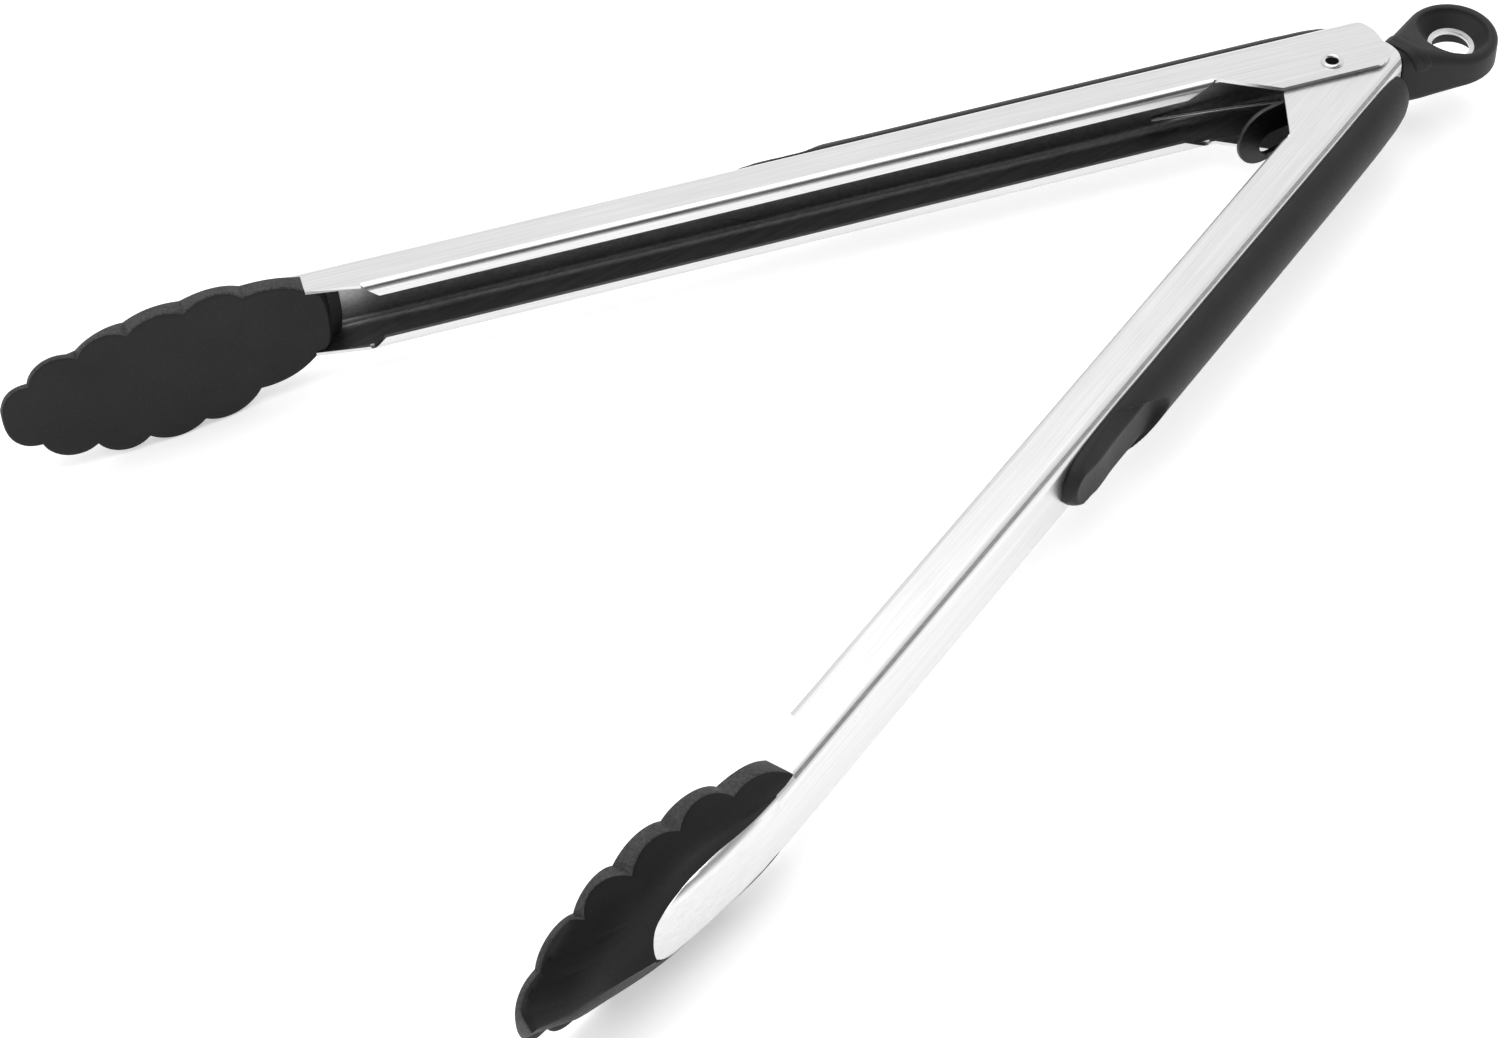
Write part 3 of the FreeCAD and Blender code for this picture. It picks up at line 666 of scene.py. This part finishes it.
def tab_outline():
    """Plan of the tab with its inward edge vectors, both as (s, n) about its axis."""
    touch = math.pi / 2 + TAB_SPREAD
    touch_point = np.array([RING_S + TAB_R * math.cos(touch), TAB_R * math.sin(touch)])
    corner = np.array([TAB_START, TAB_NECK_HALF])
    plan, inward = [], []
    side_normal = np.array([math.sin(TAB_SPREAD), -math.cos(TAB_SPREAD)])
    for t in np.linspace(0, 1, 25)[:-1]:
        point = corner + (touch_point - corner) * t
        edge = float(spline(TAB_LINE, 2, point[0]))
        plan.append(point)
        inward.append(np.array([END_EDGE, -edge]) if t == 0 else side_normal * edge)
    for turn in np.linspace(touch, 0, 49):
        direction = np.array([math.cos(turn), math.sin(turn)])
        point = np.array([RING_S, 0.0]) + direction * TAB_R
        plan.append(point)
        inward.append(-direction * float(spline(TAB_LINE, 2, point[0])))
    mirror = np.array([1, -1])
    plan += [p * mirror for p in reversed(plan[:-1])]
    inward += [v * mirror for v in reversed(inward[:-1])]
    end_edge = float(spline(TAB_LINE, 2, TAB_START))
    for t in np.linspace(-1, 1, 9)[1:-1]:
        plan.append(np.array([TAB_START, TAB_NECK_HALF * t]))
        inward.append(np.array([END_EDGE, -end_edge * t]))
    return np.array(plan), np.array(inward)


def tilted(s, n, z):
    """Turn a point of the eye about the slider's axis."""
    cos, sin = math.cos(RING_TILT), math.sin(RING_TILT)
    return (s, n * cos - z * sin, n * sin + z * cos)


def ring_lean(side, s, n):
    """The upper face leans a little with the eye: level at the neck, full at the ring."""
    if side < 0:
        return 0.0
    share = np.clip((s - LEAN_START) / LEAN_SPAN, 0, 1)
    return n * UPPER_LEAN * share * share * (3 - 2 * share)


def tab_ring(side, plan, height):
    """A ring on one face of the tab, leaning with that face."""
    return [(s, n, side * z + ring_lean(side, s, n)) for (s, n), z in zip(plan, height)]


def tab_half_rings(side):
    """Rings of one side of the tab, from the eye outwards to the wall."""
    plan, inward = tab_outline()
    angles = np.arctan2(plan[:, 1], plan[:, 0] - RING_S)
    rim = np.stack([np.cos(angles), np.sin(angles)], axis=1)

    def top(s):
        lower = LOWER_CUT * np.clip((s - CUT_START) / CUT_SPAN, 0, 1) if side < 0 else 0.0
        return spline(TAB_LINE, 1, np.maximum(s, TAB_START)) - lower

    mouth_r = FUNNEL_MOUTH_R[side]
    mouth = rim * mouth_r + (RING_S, 0)
    edges = tab_ring(side, mouth, top(mouth[:, 0]) - FUNNEL_LIP)
    feet = [tilted(RING_S + FUNNEL_FOOT_R * c, FUNNEL_FOOT_R * d, side * PLATE / 2) for c, d in rim]
    rings = []
    for t in np.linspace(0, 1, 6)[:-1]:
        ring = np.array(feet) * (1 - t) + np.array(edges) * t
        rings.append([tuple(point) for point in ring])
    for turn in np.linspace(0, math.pi / 2, 5):
        spot = rim * (mouth_r + FUNNEL_LIP * (1 - math.cos(turn))) + (RING_S, 0)
        rings.append(tab_ring(side, spot, top(spot[:, 0]) - FUNNEL_LIP * (1 - math.sin(turn))))
    lip = rim * (mouth_r + FUNNEL_LIP) + (RING_S, 0)
    inner = plan + inward
    for t in np.linspace(0, 1, 8)[1:-1]:
        spot = lip + (inner - lip) * t
        rings.append(tab_ring(side, spot, top(spot[:, 0])))
    edge = spline(TAB_LINE, 2, plan[:, 0])
    for turn in np.linspace(math.pi / 2, 0, 8):
        spot = plan + inward * (1 - math.cos(turn))
        rings.append(tab_ring(side, spot, top(spot[:, 0]) - edge * (1 - math.sin(turn))))
    return rings


def tab_side_point(s, across, out):
    """Point on the neck: across is measured round its section from the top."""
    edge = float(spline(TAB_LINE, 2, s))
    height = float(spline(TAB_LINE, 1, s))
    flat = TAB_NECK_HALF + (s - TAB_START) * math.tan(TAB_SPREAD) - edge
    bend = max(0.0, min(math.pi / 2, (abs(across) - flat) / edge))
    down = max(0.0, abs(across) - flat - edge * math.pi / 2)
    n = min(abs(across), flat) + (edge + out) * math.sin(bend)
    z = height - edge + (edge + out) * math.cos(bend) - down
    n = -math.copysign(n, across)
    return (s, n, z + float(ring_lean(1, s, n)))


PAD_START = np.array([17.2, -2.4])      # ends of the pad's spine, as (s, across)
PAD_END = np.array([19.6, 6.6])
PAD_HALF = 1.75
PAD_RAISED = 0.6
PAD_SUNK = 0.5
# Share of the outline and height over the neck, from the top's middle to the underside.
PAD_LEVELS = [
    (0.02, PAD_RAISED), (0.45, PAD_RAISED), (0.86, PAD_RAISED), (0.96, PAD_RAISED * 0.8),
    (1.0, 0.0), (1.0, -PAD_SUNK), (0.02, -PAD_SUNK),
]


def pad_mesh(name):
    """Blank oval pad, raised a little, that runs over the neck's shoulder."""
    run = PAD_END - PAD_START
    axis = run / np.linalg.norm(run)
    beside = np.array([-axis[1], axis[0]])
    outline = []
    for turn in np.linspace(-math.pi / 2, math.pi / 2, 13):
        outline.append(PAD_END + (axis * math.cos(turn) + beside * math.sin(turn)) * PAD_HALF)
    for t in np.linspace(1, 0, 11)[1:-1]:
        outline.append(PAD_START + run * t + beside * PAD_HALF)
    for turn in np.linspace(math.pi / 2, 3 * math.pi / 2, 13):
        outline.append(PAD_START + (axis * math.cos(turn) + beside * math.sin(turn)) * PAD_HALF)
    for t in np.linspace(0, 1, 11)[1:-1]:
        outline.append(PAD_START + run * t - beside * PAD_HALF)
    outline = np.array(outline)
    along = np.clip((outline - PAD_START) @ axis, 0, np.linalg.norm(run))
    spine = PAD_START + along[:, None] * axis
    points = []
    for share, out in PAD_LEVELS:
        ring = spine + (outline - spine) * share
        points += [tab_side_point(s, across, out) for s, across in ring]
    faces = closed_rings(len(PAD_LEVELS), len(outline))
    return make_object(name, points, faces, TAB_PLACE, ELASTOMER)


def build_tab():
    """Soft over-mould round the eye, with a funnel on each face."""
    rings = tab_half_rings(1) + list(reversed(tab_half_rings(-1)))
    count = len(rings[0])
    points = [p for ring in rings for p in ring]
    faces = ring_faces(len(rings), count)
    last = (len(rings) - 1) * count
    faces += [(last + i, last + (i + 1) % count, (i + 1) % count, i) for i in range(count)]
    tab = make_object("pull_tab_moulding", points, faces, TAB_PLACE, ELASTOMER)
    join_solids(tab, pad_mesh("pull_tab_pad"))
    smooth(tab, crease=40)
    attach(tab, "lock_slider")
    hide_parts("pull_tab")


# ---- torsion spring --------------------------------------------------------------------------
WIRE_R = 0.5
WIRE_SIDES = 12
WIRE_END_SHARE = 0.7          # of the radius, at the wire's two cut ends
WIRE_CLEARANCE = 0.05         # between a leg and the inside of its arm's back
COIL_R = 4.5
COIL_LOW = -4.40
COIL_HIGH = -0.90
COIL_TURNS = 3
COIL_STEPS = 36               # in each turn
LEG_END = 37.0
LEG_END_B = BACK - SHEET - WIRE_R - WIRE_CLEARANCE
LEG_DRIFT = 0.8
LEG_ARCH = 0.7
LEG_STEPS = 24


def leg_points(level, drift):
    """Centre line of a leg in its arm's frame, from the coil to its tip."""
    reach = math.hypot(LEG_END, LEG_END_B)
    turn = math.atan2(LEG_END_B, LEG_END) + math.acos(COIL_R / reach)
    start = np.array([COIL_R * math.cos(turn), COIL_R * math.sin(turn), level])
    end = np.array([LEG_END, LEG_END_B, level + drift])
    points = []
    for t in np.linspace(0, 1, LEG_STEPS):
        points.append(start + (end - start) * t + np.array([0, LEG_ARCH * 4 * t * (1 - t), 0]))
    return points, turn


def wire_path():
    """The whole wire in millimetres in the row frame: leg, coil, leg."""
    outer, turn = leg_points(-COIL_LOW, LEG_DRIFT)
    inner, turn = leg_points(COIL_HIGH, LEG_DRIFT / 2)
    first = math.pi - HALF_ANGLE - turn
    sweep = 2 * math.pi * COIL_TURNS + 2 * first
    path = [OUTER_PLACE @ Vector(p) for p in reversed(outer)]
    for t in np.linspace(0, 1, COIL_STEPS * COIL_TURNS)[1:-1]:
        angle = first - sweep * t
        level = COIL_LOW + (COIL_HIGH - COIL_LOW) * t
        path.append(Vector((COIL_R * math.cos(angle), COIL_R * math.sin(angle), level)))
    return path + [INNER_PLACE @ Vector(p) for p in inner]


def tube(path, radius):
    """Round wire along a path, with its two ends rounded a little."""
    points = []
    normal = Vector((0, 0, 1))
    for index, spot in enumerate(path):
        ahead = path[min(index + 1, len(path) - 1)] - path[max(index - 1, 0)]
        ahead.normalize()
        normal = (normal - ahead * normal.dot(ahead)).normalized()
        beside = ahead.cross(normal)
        shrink = WIRE_END_SHARE if index in (0, len(path) - 1) else 1.0
        for side in range(WIRE_SIDES):
            turn = 2 * math.pi * side / WIRE_SIDES
            points.append(spot + (normal * math.cos(turn) + beside * math.sin(turn)) * radius * shrink)
    return points, closed_rings(len(path), WIRE_SIDES)


def build_spring():
    """One wire: a coil about the pivot, with a leg laid inside each arm's back."""
    points, faces = tube(wire_path(), WIRE_R)
    wire = make_object("torsion_spring_wire", points, faces, Matrix.Identity(4), WIRE_STEEL)
    smooth(wire, crease=50)
    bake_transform(wire)
    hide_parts("torsion_spring_coil", "torsion_spring_outer_leg", "torsion_spring_inner_leg")


# ---- steel pieces ------------------------------------------------------------------------------
INSIDE_FOOT = 4.2             # the painted shade inside a channel starts above its lips
INSIDE_DEPTH = 0.6 * SHEET    # faces deeper than this in the sheet are inside
EDGE_SEGMENTS = 2
EDGE_ANGLE = math.radians(40)
CHANNELS = {"outer_arm": (OUTER_HALF, OUTER_PLACE), "inner_arm": (INNER_HALF, INNER_PLACE)}


def paint_channel_shade(mesh, half, place):
    """Faces inside a channel get the darker steel: painted shade where the inside of the channel lies in
    shadow.
    """
    mesh.materials.append(SHADED_INSIDE_STEEL)
    to_arm = place.inverted()
    for polygon in mesh.polygons:
        a, b, z = (to_arm @ polygon.center) / MM
        if a < CHEEK_END and abs(z) < half - INSIDE_DEPTH and INSIDE_FOOT < b < BACK - INSIDE_DEPTH:
            polygon.material_index = 1


def build_steel(node, material, body, width):
    """The frame's own shape with its sheet edges broken, as deburred steel has them."""
    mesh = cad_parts[node].data.copy()
    mesh.materials.clear()
    mesh.materials.append(material)
    piece = bpy.data.objects.new(node + "_steel", mesh)
    bpy.context.scene.collection.objects.link(piece)
    tidy_normals(piece)
    if node in CHANNELS:
        paint_channel_shade(mesh, *CHANNELS[node])
    modifier = piece.modifiers.new("broken_edges", "BEVEL")
    modifier.width = width * MM
    modifier.segments = EDGE_SEGMENTS
    modifier.limit_method = "ANGLE"
    modifier.angle_limit = EDGE_ANGLE
    apply_modifier(piece, modifier)
    smooth(piece, crease=40)
    # flat faces keep flat shading right up to their broken edges
    apply_modifier(piece, piece.modifiers.new("flat_faces", "WEIGHTED_NORMAL"))
    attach(piece, body)
    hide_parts(node)


def build_pieces():
    build_steel("outer_arm", OUTER_STEEL, "outer_arm", 0.16)
    build_steel("inner_arm", INNER_STEEL, "inner_arm", 0.16)
    build_steel("hollow_rivet", RIVET_STEEL, "outer_arm", 0.04)
    build_steel("lock_slider_plate", PLATE_STEEL, "lock_slider", 0.15)
    build_steel("lock_slider_eye", SLIDER_STEEL, "lock_slider", 0.15)
    build_head("outer_head_moulding", OUTER_HALF, OUTER_PLACE, "outer_arm", "outer_head")
    build_head("inner_head_moulding", INNER_HALF, INNER_PLACE, "inner_arm", "inner_head")
    build_grip("outer_grip_moulding", OUTER_HALF, OUTER_PLACE, "outer_arm", "outer_grip", 0.3)
    build_grip("inner_grip_moulding", INNER_HALF, INNER_PLACE, "inner_arm", "inner_grip", 0.0)
    build_tab()
    build_spring()


# ---- stage ---------------------------------------------------------------------------------
FLOOR_HALF = 4.0                        # metres, as the stage's places are
FLOOR_GREY = 0.84
FLOOR_GLOW = 0.45
# The sky is white, with a dark patch round this direction that the steel mirrors.
SKY_DARK_SIDE = (-0.05, -0.69, 0.72)
SKY_DARK = 0.05
SKY_DARK_FROM = 0.78                    # nearness to that direction, 1 is straight at it
SKY_DARK_FULL = 0.94
CAMERA_AT = (-0.42567, -0.39335, 0.46924)
CAMERA_YAW = math.radians(55.93)
CAMERA_PITCH = math.radians(-46.40)
CAMERA_ROLL = math.radians(-3.52)
CAMERA_LENS = 79.84
CAMERA_SENSOR = 36.0


def build_floor():
    low = cad_bounds[0][2]
    mesh = bpy.data.meshes.new("floor")
    corners = [(-1, -1), (1, -1), (1, 1), (-1, 1)]
    mesh.from_pydata([(x * FLOOR_HALF, y * FLOOR_HALF, low) for x, y in corners], [], [(0, 1, 2, 3)])
    floor = bpy.data.objects.new("floor", mesh)
    bpy.context.scene.collection.objects.link(floor)
    material, nodes, links, shader = new_material("pale_floor")
    shader.inputs["Base Color"].default_value = (FLOOR_GREY, FLOOR_GREY, FLOOR_GREY, 1)
    shader.inputs["Roughness"].default_value = 0.9
    shader.inputs["Specular IOR Level"].default_value = 0.1
    # a lit table: the floor glows a little, so shadows on it stay faint
    shader.inputs["Emission Color"].default_value = (1, 1, 1, 1)
    shader.inputs["Emission Strength"].default_value = FLOOR_GLOW
    mesh.materials.append(material)


def area_light(name, at, target, size, power):
    light = bpy.data.lights.new(name, "AREA")
    light.shape = "RECTANGLE"
    light.size, light.size_y = size
    light.energy = power
    obj = bpy.data.objects.new(name, light)
    obj.location = at
    obj.rotation_euler = (Vector(target) - Vector(at)).to_track_quat("-Z", "Y").to_euler()
    bpy.context.scene.collection.objects.link(obj)


def build_light():
    world = bpy.data.worlds.new("studio")
    bpy.context.scene.world = world
    world.use_nodes = True
    nodes, links = world.node_tree.nodes, world.node_tree.links
    place = nodes.new("ShaderNodeTexCoord")
    spread = nodes.new("ShaderNodeVectorMath")
    spread.operation = "DOT_PRODUCT"
    spread.inputs[1].default_value = Vector(SKY_DARK_SIDE).normalized()
    links.new(place.outputs["Generated"], spread.inputs[0])
    nearness = remap(nodes, links, spread.outputs["Value"], 0, 1, -1, 1)
    colour = shade(nodes, links, nearness, (1.0,) * 3, (SKY_DARK,) * 3, SKY_DARK_FROM, SKY_DARK_FULL)
    links.new(colour, nodes["Background"].inputs["Color"])
    nodes["Background"].inputs["Strength"].default_value = 1.0
    area_light("overhead_softbox", at=(-0.15, 0.0, 1.6), target=(-0.12, 0.0, 0.0),
               size=(1.7, 1.7), power=16.0)


def build_camera():
    """Long lens, above and to the left of the heads, rolled a little."""
    data = bpy.data.cameras.new("camera")
    data.lens = CAMERA_LENS
    data.sensor_width = CAMERA_SENSOR
    data.clip_start = 0.05
    camera = bpy.data.objects.new("camera", data)
    flat = math.cos(CAMERA_PITCH)
    forward = Vector((flat * math.cos(CAMERA_YAW), flat * math.sin(CAMERA_YAW), math.sin(CAMERA_PITCH)))
    level = forward.cross(Vector((0, 0, 1))).normalized()
    up = level.cross(forward)
    right = level * math.cos(CAMERA_ROLL) + up * math.sin(CAMERA_ROLL)
    up = right.cross(forward)
    turn = Matrix((right, up, -forward)).transposed().to_4x4()
    camera.matrix_world = Matrix.Translation(CAMERA_AT) @ turn
    bpy.context.scene.collection.objects.link(camera)
    bpy.context.scene.camera = camera


build_pieces()
build_floor()
build_light()
build_camera()
bpy.context.scene.view_settings.view_transform = "Standard"
